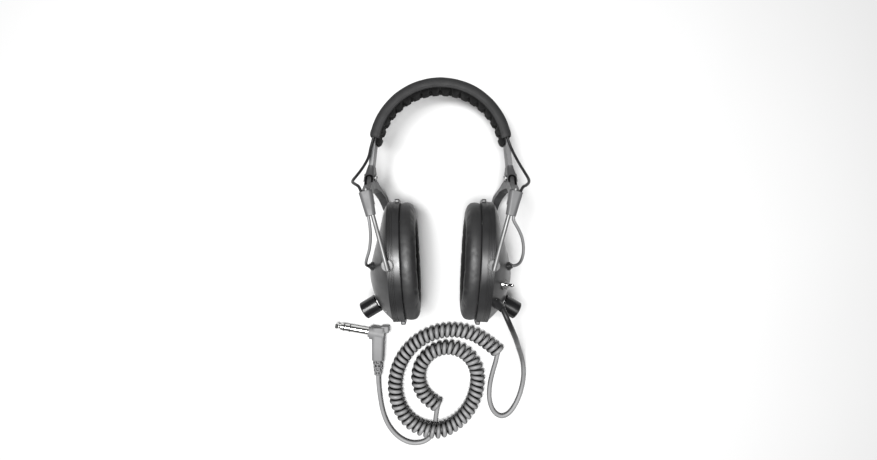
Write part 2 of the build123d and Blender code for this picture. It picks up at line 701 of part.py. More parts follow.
def plug_relief():
    """Segmented strain relief: ribs on a thinner core."""
    place, length = along(PLUG_HANDLE_END, RELIEF_END)
    core = Cone(3.6, 2.6, length, align=(Align.CENTER, Align.CENTER, Align.MIN))
    rib_count = 4
    for number in range(rib_count):
        height = 1.4 + number * (length - 2.4) / rib_count
        core += Pos(0, 0, height) * ring(1.7, 4.9 - 0.35 * number)
    return place * core


def build_headband():
    save_headset("headband_strap", headband_strap())
    save_headset("headband_cover", headband_cover())
    save_headset("headband_pad", headband_pad())
    save_headset("bridge_lead", bridge_lead())
    save_pair("fork", fork())
    save_headset("fork_rivets", fork_rivets())
    save_pair("front_rod", rod(1))
    save_pair("rear_rod", rod(-1))
    for side, mirrored in (("right", False), ("left", True)):
        for stem, piece in (("lead_loop", lead_loop(side)), ("cup_lead", cup_lead(side))):
            save_headset(f"{stem}_{side}", mirror(piece, about=Plane.YZ) if mirrored else piece)


def build_cups():
    save_headset("cup_shell_right", cup_shell(True))
    save_headset("cup_shell_left", mirror(cup_shell(False), about=Plane.YZ))
    pieces = (pivot_bushes, baffle_plate, cup_screws, ear_cushion, foam_screen, driver_frame,
              driver_diaphragm, driver_magnet, volume_pot, pot_nut, pot_shaft, volume_knob, lead_grommet)
    for piece in pieces:
        save_pair(piece.__name__, piece())
    for piece in (toggle_body, toggle_nut, toggle_lever, cord_gland, wiring_board):
        save_headset(piece.__name__, piece())


def build_cord():
    save("cord_lead", tube("cord_lead", CORD_LEAD, CORD_R))
    save("cord_coil", tube("cord_coil", coil_axis(), COIL_R))
    save("cord_tail", tube("cord_tail", CORD_TAIL, CORD_R))
    save("plug_housing", plug_housing())
    save("plug_cap", plug_cap())
    save("plug_relief", plug_relief())
    for node, shape in plug_contacts().items():
        save(node, shape)


os.makedirs("parts", exist_ok=True)
build_headband()
build_cups()
build_cord()
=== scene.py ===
import json
import math

import bmesh
import bpy
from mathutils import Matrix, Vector, noise


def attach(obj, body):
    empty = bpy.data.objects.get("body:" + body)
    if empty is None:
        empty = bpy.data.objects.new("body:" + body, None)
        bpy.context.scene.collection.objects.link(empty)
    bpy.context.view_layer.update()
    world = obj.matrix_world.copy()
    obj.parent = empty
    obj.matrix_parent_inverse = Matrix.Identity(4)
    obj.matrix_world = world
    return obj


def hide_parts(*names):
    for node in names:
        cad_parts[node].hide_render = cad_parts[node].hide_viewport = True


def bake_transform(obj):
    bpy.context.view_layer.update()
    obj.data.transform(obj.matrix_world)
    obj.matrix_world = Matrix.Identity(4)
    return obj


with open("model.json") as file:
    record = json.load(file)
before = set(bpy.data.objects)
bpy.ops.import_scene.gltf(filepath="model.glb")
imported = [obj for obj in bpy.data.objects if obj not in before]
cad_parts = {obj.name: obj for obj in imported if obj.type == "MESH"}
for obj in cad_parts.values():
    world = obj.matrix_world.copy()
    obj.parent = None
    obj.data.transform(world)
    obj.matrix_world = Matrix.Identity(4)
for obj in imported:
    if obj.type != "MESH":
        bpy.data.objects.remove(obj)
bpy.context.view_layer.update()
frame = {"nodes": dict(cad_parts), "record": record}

# Places and sizes are in millimetres, except in the studio and in the materials, where they are in metres
MM = 0.001
SIDES = {"left": -1, "right": 1}

# The headset's own frame, as part.py draws it: its origin is midway between the cup pivots
PIVOT = (0.0, -46.9, 47.2)
BAND_Y = 87.4


def row(x, y, z):
    """A point of the headset's frame as a point of the row frame in metres."""
    return Vector((x + PIVOT[0], y + PIVOT[1], z + PIVOT[2])) * MM


def to_row(point):
    """A point of the row frame in millimetres as one in metres."""
    return Vector(point) * MM


def add_object(name, data):
    piece = bpy.data.objects.new(name, data)
    bpy.context.scene.collection.objects.link(piece)
    return piece


# ---- Camera, floor and light ----

CAMERA_AT = (-1.6, -21.5, 422.2)
LENS = 19.25
SENSOR_WIDTH = 36.0
FLOOR_HALF = 3.0
FLOOR_DROP = 0.0002
FLOOR_TONE = (0.62, 0.62, 0.62)
WORLD_STRENGTH = 0.12
LIGHT_TARGET = (0.0, -0.05, 0.05)
LIGHTS = {
    "key": dict(place=(-0.05, -0.12, 1.10), size=0.32, power=15.0),
    "side": dict(place=(-0.24, 0.03, 1.05), size=0.20, power=7.0),
}


def make_camera():
    data = bpy.data.cameras.new("camera")
    data.sensor_width = SENSOR_WIDTH
    data.lens = LENS
    data.clip_start = 0.01
    camera = add_object("camera", data)
    camera.location = to_row(CAMERA_AT)
    bpy.context.scene.camera = camera


def area_light(name, place, size, power):
    data = bpy.data.lights.new(name, "AREA")
    data.shape = "DISK"
    data.size = size
    data.energy = power
    light = add_object(name, data)
    light.location = place
    light.rotation_mode = "QUATERNION"
    light.rotation_quaternion = (Vector(LIGHT_TARGET) - Vector(place)).to_track_quat("-Z", "Y")


def make_floor():
    mesh = bpy.data.meshes.new("floor")
    corners = [(x * FLOOR_HALF, y * FLOOR_HALF, 0) for x, y in ((-1, -1), (1, -1), (1, 1), (-1, 1))]
    mesh.from_pydata(corners, [], [(0, 1, 2, 3)])
    floor = add_object("floor", mesh)
    floor.location.z = -FLOOR_DROP
    mesh.materials.append(surface("floor_paper", FLOOR_TONE, 0.9, variation=0.01, patch=0.2,
                                  grain_size=0.002, relief=0.00001))


def make_studio():
    """A pale paper floor under two soft lights, as in the photo's flat, bright studio."""
    make_floor()
    world = bpy.data.worlds.new("world")
    world.use_nodes = True
    background = world.node_tree.nodes["Background"]
    background.inputs["Color"].default_value = (1, 1, 1, 1)
    background.inputs["Strength"].default_value = WORLD_STRENGTH
    scene = bpy.context.scene
    scene.world = world
    for name, light in LIGHTS.items():
        area_light(name, **light)
    scene.view_settings.view_transform = "Standard"
    scene.view_settings.look = "None"


# ---- Materials ----

class Nodes:
    """Adds and links the shader nodes of one material."""

    def __init__(self, material):
        material.use_nodes = True
        self.tree = material.node_tree
        self.shader = self.tree.nodes["Principled BSDF"]
        self.place = self.add("ShaderNodeTexCoord").outputs["Object"]

    def add(self, kind, **values):
        node = self.tree.nodes.new(kind)
        for name, value in values.items():
            setattr(node, name, value)
        return node

    def link(self, source, target):
        self.tree.links.new(source, target)

    def noise(self, size, detail):
        texture = self.add("ShaderNodeTexNoise")
        texture.inputs["Scale"].default_value = 1.0 / size
        texture.inputs["Detail"].default_value = detail
        self.link(self.place, texture.inputs["Vector"])
        return texture.outputs["Fac"]

    def cells(self, size, feature):
        texture = self.add("ShaderNodeTexVoronoi", feature=feature)
        texture.inputs["Scale"].default_value = 1.0 / size
        self.link(self.place, texture.inputs["Vector"])
        return texture.outputs["Distance"]

    def axes(self, source):
        """The three parts of a place or a direction, by the names X, Y and Z."""
        parts = self.add("ShaderNodeSeparateXYZ")
        self.link(source, parts.inputs["Vector"])
        return parts.outputs

    def upward(self):
        """How far the surface faces up, for the painted shade on faces that turn away from the lights."""
        return self.axes(self.add("ShaderNodeNewGeometry").outputs["Normal"])["Z"]

    def compare(self, kind, first, second):
        """The dot product or the distance of two vectors; the second may be plain numbers."""
        node = self.add("ShaderNodeVectorMath", operation=kind)
        self.link(first, node.inputs[0])
        if isinstance(second, tuple):
            node.inputs[1].default_value = second
        else:
            self.link(second, node.inputs[1])
        return node.outputs["Value"]

    def ramp(self, source, low, high, from_low=0.3, from_high=0.7):
        """Goes from low to high as the source goes from from_low to from_high."""
        spread = self.add("ShaderNodeMapRange")
        spread.inputs["From Min"].default_value = from_low
        spread.inputs["From Max"].default_value = from_high
        spread.inputs["To Min"].default_value = low
        spread.inputs["To Max"].default_value = high
        self.link(source, spread.inputs["Value"])
        return spread.outputs["Result"]

    def math(self, kind, first, second):
        node = self.add("ShaderNodeMath", operation=kind)
        for socket, value in zip(node.inputs, (first, second)):
            if isinstance(value, (int, float)):
                socket.default_value = value
            else:
                self.link(value, socket)
        return node.outputs["Value"]

    def apart(self, source, centre):
        """How far the source is from a value, either way."""
        return self.math("ABSOLUTE", self.math("SUBTRACT", source, centre), 0.0)

    def mix(self, factor, first, second):
        """One colour at a factor of 0, the other at 1."""
        node = self.add("ShaderNodeMix", data_type="RGBA")
        self.link(factor, node.inputs["Factor"])
        for socket, value in ((node.inputs[6], first), (node.inputs[7], second)):
            if isinstance(value, tuple):
                socket.default_value = (*value, 1.0)
            else:
                self.link(value, socket)
        return node.outputs[2]

    def overlay(self, share, colour):
        """Lays a colour over the finish's own, as far as the share goes."""
        base = self.shader.inputs["Base Color"]
        self.link(self.mix(share, base.links[0].from_socket, colour), base)


# Leather: the width of a crease, where its painted shade ends and the tone of that painted shade, then the
# fine grain's size and depth
CREASE_WIDTH = 0.22
CREASE_SHADE = 0.6
CREASE_SHADE_TONE = 0.62
FINE_SIZE = 0.35
FINE_DEPTH = 0.35
# Foam: the width of a cell's wall and the tone of the painted shade in its hollow
CELL_WIDTH = 0.8
CELL_SHADE_TONE = 0.3
# The upward part of the normal below which the painted shade on faces turned away from the lights is whole,
# and above which it is gone
SIDE_SHADE_UP = (0.35, 0.85)
# Rubbed edges: how sharp they are, the size of the patches, the least wear in them and their tone
RUB_FROM = (0.82, 0.97)
RUB_PATCH = 0.004
RUB_LEAST = 0.2
RUB_TONE = 2.4
GLOSS_PATCH = 0.45
BEVEL_SAMPLES = 4


def scaled(colour, factor):
    return tuple(min(1.0, c * factor) for c in colour)


def add_grain(nodes, grain, size, colour, tone):
    """The grain's height, and the tone with painted shade in the creases of leather and the hollows of
    foam.
    """
    if grain == "leather":
        creases = nodes.ramp(nodes.cells(size, "DISTANCE_TO_EDGE"), 0.0, 1.0, 0.0, CREASE_WIDTH)
        fine = nodes.math("MULTIPLY", nodes.noise(size * FINE_SIZE, 2.0), FINE_DEPTH)
        shade = nodes.ramp(creases, 0.0, 1.0, 0.0, CREASE_SHADE)
        return nodes.math("ADD", creases, fine), nodes.mix(shade, scaled(colour, CREASE_SHADE_TONE), tone)
    if grain == "cells":
        height = nodes.ramp(nodes.cells(size, "F1"), 1.0, 0.0, 0.0, CELL_WIDTH)
        return height, nodes.mix(height, scaled(colour, CELL_SHADE_TONE), tone)
    return nodes.noise(size, 2.0), tone


def rub_edges(nodes, rounded, wear, colour, tone):
    """The tone with its sharp edges rubbed paler in patches."""
    facing = nodes.compare("DOT_PRODUCT", rounded, nodes.add("ShaderNodeNewGeometry").outputs["Normal"])
    rim = nodes.ramp(facing, wear, 0.0, *RUB_FROM)
    rubbed = nodes.math("MULTIPLY", rim, nodes.ramp(nodes.noise(RUB_PATCH, 3.0), RUB_LEAST, 1.0))
    return nodes.mix(rubbed, tone, scaled(colour, RUB_TONE))


def surface(name, colour, roughness, metallic=0.0, variation=0.12, patch=0.02, spread=0.07, grain="moulded",
            grain_size=0.0004, relief=0.00003, edge=0.0, wear=0.0, specular=0.5, sheen=0.0, side_shade=0.0):
    """A procedural finish: patches of tone, a grain in relief, rounded edges and a little wear on them;
    painted shade in the grain's creases and hollows and on faces that turn away from the lights.
    """
    material = bpy.data.materials.new(name)
    nodes = Nodes(material)
    shader = nodes.shader
    shader.inputs["Metallic"].default_value = metallic
    shader.inputs["Specular IOR Level"].default_value = specular
    shader.inputs["Sheen Weight"].default_value = sheen
    patches = nodes.ramp(nodes.noise(patch, 4.0), 0.0, 1.0)
    tone = nodes.mix(patches, scaled(colour, 1 - variation), scaled(colour, 1 + variation))
    height, tone = add_grain(nodes, grain, grain_size, colour, tone)
    # Painted shade: the colour is scaled down on faces that turn away from the lights
    if side_shade:
        tone = nodes.mix(nodes.ramp(nodes.upward(), 0.0, 1.0, *SIDE_SHADE_UP), scaled(colour, side_shade), tone)
    bump = nodes.add("ShaderNodeBump")
    bump.inputs["Distance"].default_value = relief
    bump.inputs["Strength"].default_value = 1.0
    nodes.link(height, bump.inputs["Height"])
    rough = nodes.ramp(nodes.noise(patch * GLOSS_PATCH, 3.0), roughness - spread, roughness + spread)
    if edge:
        bevel = nodes.add("ShaderNodeBevel", samples=BEVEL_SAMPLES)
        bevel.inputs["Radius"].default_value = edge
        nodes.link(bevel.outputs["Normal"], bump.inputs["Normal"])
        if wear:
            tone = rub_edges(nodes, bevel.outputs["Normal"], wear, colour, tone)
    nodes.link(bump.outputs["Normal"], shader.inputs["Normal"])
    nodes.link(tone, shader.inputs["Base Color"])
    nodes.link(rough, shader.inputs["Roughness"])
    return material


# Lengths in a finish (grain_size, relief, edge) are in metres
# side_shade in a finish is the share of its colour left as painted shade on faces that turn away from the
# lights
FINISHES = {
    "shell_plastic": dict(colour=(0.018, 0.018, 0.0185), roughness=0.36, grain_size=0.0006, relief=0.00002,
                          edge=0.0004, wear=0.05, specular=0.5),
    "baffle_plastic": dict(colour=(0.02, 0.02, 0.021), roughness=0.6, edge=0.0003),
    "cushion_leatherette": dict(colour=(0.020, 0.020, 0.0205), roughness=0.52, grain="leather",
                                grain_size=0.0011, relief=0.00003, sheen=0.02, specular=0.5),
    "steel_rod": dict(colour=(0.20, 0.20, 0.20), roughness=0.55, metallic=0.8, grain_size=0.0005,
                      relief=0.000004, variation=0.06),
    "fork_plastic": dict(colour=(0.045, 0.045, 0.046), roughness=0.48, edge=0.0005, wear=0.25,
                         relief=0.000012, specular=0.4),
    "bush_plastic": dict(colour=(0.022, 0.022, 0.0225), roughness=0.38, edge=0.0002, wear=0.3,
                         specular=0.5),
    "foam": dict(colour=(0.008, 0.008, 0.008), roughness=0.95, grain="cells", grain_size=0.0009,
                 relief=0.0004, specular=0.05),
    "magnet_steel": dict(colour=(0.18, 0.18, 0.18), roughness=0.45, metallic=1.0, edge=0.0002),
    "diaphragm_film": dict(colour=(0.22, 0.2, 0.16), roughness=0.4),
    "knob_plastic": dict(colour=(0.006, 0.006, 0.0065), roughness=0.26, edge=0.0004, relief=0.00001),
    "lead_rubber": dict(colour=(0.015, 0.015, 0.0155), roughness=0.40, relief=0.00001, grain_size=0.0008,
                        specular=0.3),
    "strap_metal": dict(colour=(0.085, 0.085, 0.087), roughness=0.45, edge=0.0003, wear=0.5,
                        relief=0.000008, metallic=0.2),
    "cover_leatherette": dict(colour=(0.022, 0.022, 0.0225), roughness=0.58, grain="leather",
                              grain_size=0.0009, relief=0.00004, sheen=0.02, specular=0.2),
    "pad_leatherette": dict(colour=(0.032, 0.032, 0.033), roughness=0.62, grain="leather",
                            grain_size=0.0009, relief=0.00004, specular=0.04, side_shade=0.2),
    "rivet_steel": dict(colour=(0.3, 0.3, 0.3), roughness=0.38, metallic=1.0, edge=0.0002),
    "toggle_chrome": dict(colour=(0.62, 0.62, 0.62), roughness=0.2, metallic=1.0, variation=0.04,
                          spread=0.04, relief=0.000002, edge=0.0002),
    "switch_can": dict(colour=(0.5, 0.5, 0.5), roughness=0.4, metallic=1.0, edge=0.0002),
    "board": dict(colour=(0.12, 0.16, 0.08), roughness=0.6),
    # A lighter copy of lead_rubber for the cup leads: painted light for the highlights they catch
    "lead_rubber_lit": dict(colour=(0.18, 0.18, 0.182), roughness=0.40, relief=0.00001, grain_size=0.0008,
                              specular=0.3, side_shade=0.12),
    "cord_rubber": dict(colour=(0.22, 0.22, 0.222), roughness=0.42, relief=0.00001, grain_size=0.0009,
                        specular=0.3, side_shade=0.04),
    "plug_rubber": dict(colour=(0.17, 0.17, 0.172), roughness=0.46, edge=0.0005, relief=0.00001,
                        specular=0.3, side_shade=0.35),
    "plug_metal": dict(colour=(0.62, 0.62, 0.61), roughness=0.2, metallic=1.0, variation=0.05, edge=0.0002,
                       relief=0.000003),
    "seam_shade": dict(colour=(0.003, 0.003, 0.003), roughness=0.9, specular=0.05, relief=0.00001),
    "insulator_plastic": dict(colour=(0.015, 0.015, 0.015), roughness=0.35, relief=0.000004),
}
MATERIALS = {}

# Where painted light and shade change a finish over its piece, in metres of the row frame: each pair is a
# change's start and end
SLEEVE_TOP_Y = (0.0052, 0.0066)
SLEEVE_DEPTH = (0.0405, 0.0414)
SLEEVE_LIGHT_COLOUR = (0.085, 0.085, 0.087)
PAD_SHADE_Z = (0.047, 0.060)
RIM_SHADE_X = (0.0215, 0.0245)
RIM_SHADE_Y = (0.0300, 0.0345)
RIM_SHADE_Z = (0.044, 0.056)
RIM_DULLING = 0.45
SHADE_COLOUR = (0.001, 0.001, 0.001)
LEAD_SHADE_X = (0.0, 0.01)
LEAD_SHADE_Y = (-0.136, -0.106)
LEAD_SHADE_REACH = (0.0635, 0.0655)
LEAD_SHADE_COLOUR = (0.014, 0.014, 0.0145)


def finish_of(slot):
    """The material of a slot, made when it is first asked for."""
    if slot not in MATERIALS:
        MATERIALS[slot] = surface(slot, **FINISHES[slot])
    return MATERIALS[slot]


def paint(piece, slot, finish=None):
    """Gives a piece its slot's finish, or another finish of the same material."""
    piece.data.materials.clear()
    piece.data.materials.append(finish_of(finish or slot))


def paint_sleeve_light(nodes):
    """Painted light: the fork's sleeves are made paler than its legs, for the light they catch; they are
    its lowest and outermost parts.
    """
    at = nodes.axes(nodes.place)
    low = nodes.ramp(at["Y"], 1.0, 0.0, *SLEEVE_TOP_Y)
    out = nodes.ramp(nodes.apart(at["Z"], PIVOT[2] * MM), 0.0, 1.0, *SLEEVE_DEPTH)
    nodes.overlay(nodes.math("MULTIPLY", low, out), SLEEVE_LIGHT_COLOUR)


def paint_pad_rear_shade(nodes):
    """Painted shade between the lobes towards the rear of the pad."""
    nodes.overlay(nodes.ramp(nodes.axes(nodes.place)["Z"], 1.0, 0.0, *PAD_SHADE_Z), SHADE_COLOUR)


def paint_rim_shade(nodes):
    """Painted shade makes the far side of each cushion's rim, beyond the ear opening, black; it is also
    made rougher, so duller.
    """
    at = nodes.axes(nodes.place)
    inner = nodes.ramp(nodes.apart(at["X"], 0.0), 1.0, 0.0, *RIM_SHADE_X)
    middle = nodes.ramp(nodes.apart(at["Y"], PIVOT[1] * MM), 1.0, 0.0, *RIM_SHADE_Y)
    rear = nodes.ramp(at["Z"], 1.0, 0.0, *RIM_SHADE_Z)
    share = nodes.math("MULTIPLY", nodes.math("MULTIPLY", inner, middle), rear)
    nodes.overlay(share, SHADE_COLOUR)
    rough = nodes.shader.inputs["Roughness"]
    dull = nodes.math("MULTIPLY", share, RIM_DULLING)
    nodes.link(nodes.math("ADD", rough.links[0].from_socket, dull), rough)


def paint_lead_shade(nodes):
    """Painted shade on the cord where it leaves the cup, outside the coil; it fades out on the cord's way
    down.
    """
    at = nodes.axes(nodes.place)
    coil = (COIL_CENTRE_OUT[0] * MM, COIL_CENTRE_OUT[1] * MM, COIL_Z * MM)
    outside = nodes.ramp(nodes.compare("DISTANCE", nodes.place, coil), 0.0, 1.0, *LEAD_SHADE_REACH)
    upper = nodes.ramp(at["Y"], 0.0, 1.0, *LEAD_SHADE_Y)
    right = nodes.ramp(at["X"], 0.0, 1.0, *LEAD_SHADE_X)
    nodes.overlay(nodes.math("MULTIPLY", nodes.math("MULTIPLY", outside, upper), right), LEAD_SHADE_COLOUR)


def paint_frame():
    """Gives every CAD node its finish, and the finishes that change over a piece their change."""
    for part in frame["record"]["subparts"]:
        node = frame["nodes"][part["node"]]
        node.data.materials.clear()
        node.data.materials.append(finish_of(part["material_slot"]))
    # Painted light on the sleeves; painted shade on the pad's rear, the cushions' far rims and the cord's
    # lead
    paint_sleeve_light(Nodes(finish_of("fork_plastic")))
    paint_pad_rear_shade(Nodes(finish_of("pad_leatherette")))
    paint_rim_shade(Nodes(finish_of("cushion_leatherette")))
    paint_lead_shade(Nodes(finish_of("cord_rubber")))


# ---- Curves ----

ROUND_STEPS = 4


def new_curve(name, radius):
    """An empty curve, round if it has a radius, in metres."""
    data = bpy.data.curves.new(name, "CURVE")
    data.dimensions = "3D"
    data.bevel_depth = radius
    data.bevel_resolution = ROUND_STEPS
    data.use_fill_caps = radius > 0
    return data


def add_line(data, points, steps, closed=False):
    """Adds a smooth line whose control points are the route's, in metres."""
    spline = data.splines.new("NURBS")
    spline.points.add(len(points) - 1)
    for point, place in zip(spline.points, points):
        point.co = (*place, 1.0)
    spline.order_u = 3
    spline.use_endpoint_u = not closed
    spline.use_cyclic_u = closed
    spline.resolution_u = steps


def nurbs(name, points, radius, steps):
    """An object of one smooth line."""
    data = new_curve(name, radius)
    add_line(data, points, steps)
    data.resolution_u = steps
    return add_object(name, data)


def read_line(points):
    """The points that lie on the smooth line of a route."""
    bare = nurbs("bare", points, 0.0, 12)
    mesh = bpy.data.meshes.new_from_object(bare)
    line = [vertex.co.copy() for vertex in mesh.vertices]
    curve = bare.data
    bpy.data.objects.remove(bare)
    bpy.data.curves.remove(curve)
    bpy.data.meshes.remove(mesh)
    return line


def length_of(line):
    return sum((after - before).length for before, after in zip(line, line[1:]))


def at_lengths(line, count):
    """count + 1 points evenly spaced along a line, with the line's direction at each."""
    along = [0.0]
    for before, after in zip(line, line[1:]):
        along.append(along[-1] + (after - before).length)
    places, index = [], 0
    for number in range(count + 1):
        reach = along[-1] * number / count
        while index < len(line) - 2 and along[index + 1] < reach:
            index += 1
        before, after = line[index], line[index + 1]
        share = (reach - along[index]) / max(along[index + 1] - along[index], 1e-9)
        places.append((before.lerp(after, share), (after - before).normalized()))
    return places


def across_line(ahead):
    """The level direction and the upward one across a line's direction."""
    side = ahead.cross(Vector((0, 0, 1))).normalized()
    return side, side.cross(ahead).normalized()


def as_mesh(piece):
    """The curve as a mesh object of the same name, with smooth faces."""
    mesh = bpy.data.meshes.new_from_object(piece)
    name, curve = piece.name, piece.data
    bpy.data.objects.remove(piece)
    bpy.data.curves.remove(curve)
    mesh.shade_smooth()
    return add_object(name, mesh)


# ---- Main cord: lead from the gland, curly cord on the surface, tail to the plug ----

CORD_DIAMETER = 4.0
CORD_LEAD = (
    (45.5, -79.5, 79.4), (47.2, -83.6, 82.2), (51.0, -92.0, 80.4), (56.0, -101.6, 69.0),
    (60.5, -110.6, 52.0), (65.0, -120.0, 34.5), (69.8, -130.0, 18.0), (73.6, -141.0, 6.6),
    (74.8, -152.5, 2.1), (72.6, -164.5, 2.1), (68.4, -176.0, 2.1), (61.6, -186.2, 2.1),
    (53.4, -189.0, 2.1), (46.4, -183.0, 2.1), (43.4, -172.0, 2.1), (44.2, -159.5, 2.1),
    (46.8, -148.6, 2.1), (49.6, -139.6, 2.1),
)
CORD_TAIL = (
    (-2.6, -180.2, 2.1), (-3.8, -187.0, 2.1), (-4.4, -193.6, 2.1), (-5.0, -199.8, 2.1),
    (-8.2, -206.6, 2.1), (-15.0, -211.6, 2.1), (-27.0, -212.6, 2.1), (-38.6, -206.4, 2.1),
    (-47.0, -196.0, 2.1), (-51.8, -183.6, 2.1), (-54.0, -170.6, 2.1), (-55.1, -159.6, 3.2),
    (-55.3, -149.4, 5.6), (-55.2, -135.0, 6.2),
)
# The coil's axis: an outer turn that shrinks by the degree, then winds in to a small turn off its centre
COIL_Z = 6.8
COIL_CENTRE_OUT = (8.5, -161.4)
COIL_CENTRE_IN = (6.7, -151.6)
COIL_FROM_DEG = 36.0
COIL_TO_DEG = 612.0
COIL_STEPS = 26
COIL_OUT_R = 54.0
COIL_SHRINK = 0.032
COIL_IN_R = 26.6
COIL_TURN_IN_DEG = (200.0, 360.0)
# The coil's hump over the tail: its middle and half width in degrees, and its height
HUMP_AT_DEG = 257.0
HUMP_HALF_DEG = 34.0
HUMP_HEIGHT = 4.4
HELIX_R = 4.8
HELIX_PITCH = 4.9
HELIX_POINTS = 12
HELIX_START_DEG = -100.0
CORD_STEPS = 4
CORD_ROUND_STEPS = 3


def coil_axis():
    """The curly cord's axis, lifted where the tail passes under."""
    points = []
    for number in range(COIL_STEPS + 1):
        angle = COIL_FROM_DEG + (COIL_TO_DEG - COIL_FROM_DEG) * number / COIL_STEPS
        part = (angle - COIL_TURN_IN_DEG[0]) / (COIL_TURN_IN_DEG[1] - COIL_TURN_IN_DEG[0])
        part = min(max(part, 0.0), 1.0)
        ease = part * part * (3 - 2 * part)
        radius = (COIL_OUT_R - COIL_SHRINK * (angle - COIL_FROM_DEG)) * (1 - ease) + COIL_IN_R * ease
        x, y = (a * (1 - ease) + b * ease for a, b in zip(COIL_CENTRE_OUT, COIL_CENTRE_IN))
        away = abs(angle - HUMP_AT_DEG) / HUMP_HALF_DEG
        lift = HUMP_HEIGHT * 0.5 * (1 + math.cos(math.pi * away)) if away < 1 else 0.0
        turn = math.radians(angle)
        points.append(to_row((x + radius * math.cos(turn), y + radius * math.sin(turn), COIL_Z + lift)))
    return points


def helix():
    """Control points of the curly part, wound round its axis; it starts and ends low, near the surface."""
    line = read_line(coil_axis())
    turns = round(length_of(line) / (HELIX_PITCH * MM))
    points = []
    for number, (place, ahead) in enumerate(at_lengths(line, turns * HELIX_POINTS)):
        side, up = across_line(ahead)
        angle = 2 * math.pi * number / HELIX_POINTS + math.radians(HELIX_START_DEG)
        points.append(place + (side * math.cos(angle) + up * math.sin(angle)) * (HELIX_R * MM))
    return points


def make_cord(relief):
    """The one smooth line from the gland to the plug."""
    points = [to_row(p) for p in CORD_LEAD] + helix() + [to_row(p) for p in CORD_TAIL]
    cord = nurbs("main_cord", points, CORD_DIAMETER / 2 * MM, CORD_STEPS)
    cord.data.bevel_resolution = CORD_ROUND_STEPS
    paint(cord, "cord_rubber")
    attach(cord, "cup_right")
    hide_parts("cord_lead", "cord_coil", "cord_tail")


# ---- Leads between the cups ----

LEAD_DIAMETER = 2.2
LEAD_STEPS = 6
SLEEVE_TOP_END = (56.66, 55.54, 44.5)
SLEEVE_MIDDLE = (53.43, 43.64, 44.5)
SLEEVE_LOW_END = (50.97, 34.54, 44.5)
GROMMET_END = (54.7, -1.8, 19.64)
LOOP_ROUTES = {
    "left": ((52.3, 96.4, 10.5), (54.4, 89.6, 10.6), (55.3, 82.0, 12.5), (58.6, 73.6, 18.0),
             (62.4, 66.2, 25.0), (65.2, 60.6, 32.6), (61.2, 58.2, 39.4)),
    "right": ((52.3, 96.4, 10.5), (54.2, 90.4, 10.4), (57.4, 82.2, 14.0), (60.4, 74.4, 19.4),
              (63.4, 67.2, 25.6), (65.2, 61.4, 32.0), (62.0, 57.6, 38.8)),
}
CUP_LEAD_ROUTES = {
    "left": ((50.2, 30.0, 44.2), (49.8, 21.6, 41.4), (51.4, 11.4, 35.6), (54.6, 3.6, 30.6),
             (56.2, -1.2, 23.6)),
    "right": ((51.6, 31.4, 44.0), (55.2, 26.2, 42.0), (58.6, 19.6, 38.8), (60.4, 11.8, 34.4),
              (60.2, 4.6, 30.0), (58.4, -1.1, 22.8)),
}


def make_lead(name, points, finish):
    """A short free lead between two bodies."""
    path = read_line(points)
    lead = as_mesh(nurbs(f"{name}_rubber", points, LEAD_DIAMETER / 2 * MM, LEAD_STEPS))
    paint(lead, "lead_rubber", finish)
    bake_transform(lead)
    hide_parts(name)


def make_leads(side):
    """The slack loop from the headband to the sleeve, and the lead from the sleeve to the cup."""
    sign, fork, cup = SIDES[side], f"stirrup_{side}", f"cup_{side}"
    loop = LOOP_ROUTES[side] + (SLEEVE_TOP_END, SLEEVE_MIDDLE)
    loop = [row(sign * x, y, z) for x, y, z in loop]
    make_lead(f"lead_loop_{side}", loop, "lead_rubber")
    lead = (SLEEVE_MIDDLE, SLEEVE_LOW_END) + CUP_LEAD_ROUTES[side] + (GROMMET_END,)
    lead = [row(sign * x, y, z) for x, y, z in lead]
    # The cup leads take the lighter copy of the rubber: painted light
    make_lead(f"cup_lead_{side}", lead, "lead_rubber_lit")


# ---- The plug's strain relief ----

RELIEF_FROM = (-55.2, -136.0, 6.2)
RELIEF_TO = (-55.3, -149.2, 5.6)
RELIEF_RINGS = 5
RELIEF_STRUTS = 6
RELIEF_HALF = (4.9, 3.4)
RELIEF_BAR = 0.85
RELIEF_STEPS = 4
RING_POINTS = 16
RING_GROW = 0.12
STRUT_POINTS = 4


def make_relief():
    """An open lattice of moulded rings and short struts round the cord, as flexible as a spring."""
    start, end = to_row(RELIEF_FROM), to_row(RELIEF_TO)
    side, up = across_line((end - start).normalized())
    data = new_curve("relief", RELIEF_BAR * MM)
    data.bevel_resolution = CORD_ROUND_STEPS

    def place(share, turn, grow=0.0):
        radius = RELIEF_HALF[0] + (RELIEF_HALF[1] - RELIEF_HALF[0]) * share - RELIEF_BAR + grow
        return start.lerp(end, share) + (side * math.cos(turn) + up * math.sin(turn)) * (radius * MM)

    for number in range(RELIEF_RINGS):
        share = number / (RELIEF_RINGS - 1)
        ring = [place(share, 2 * math.pi * k / RING_POINTS, RING_GROW) for k in range(RING_POINTS)]
        add_line(data, ring, RELIEF_STEPS, closed=True)
        if number == RELIEF_RINGS - 1:
            break
        gap = (number + 1) / (RELIEF_RINGS - 1) - share
        for strut in range(RELIEF_STRUTS):
            turn = 2 * math.pi * (strut + 0.5 * (number % 2)) / RELIEF_STRUTS
            along = [share + gap * k / (STRUT_POINTS - 1) for k in range(STRUT_POINTS)]
            add_line(data, [place(reach, turn) for reach in along], RELIEF_STEPS)
    relief = as_mesh(add_object("plug_relief_lattice", data))
    paint(relief, "plug_rubber")
    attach(relief, "cup_right")
    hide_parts("plug_relief")
    return relief


# ---- Padded pieces ----

CUP_X = 38.2
CUP_TOE_DEG = 3.0
CUSHION_OUTER = (46.0, 37.6)
CUSHION_INNER = (29.0, 23.6)
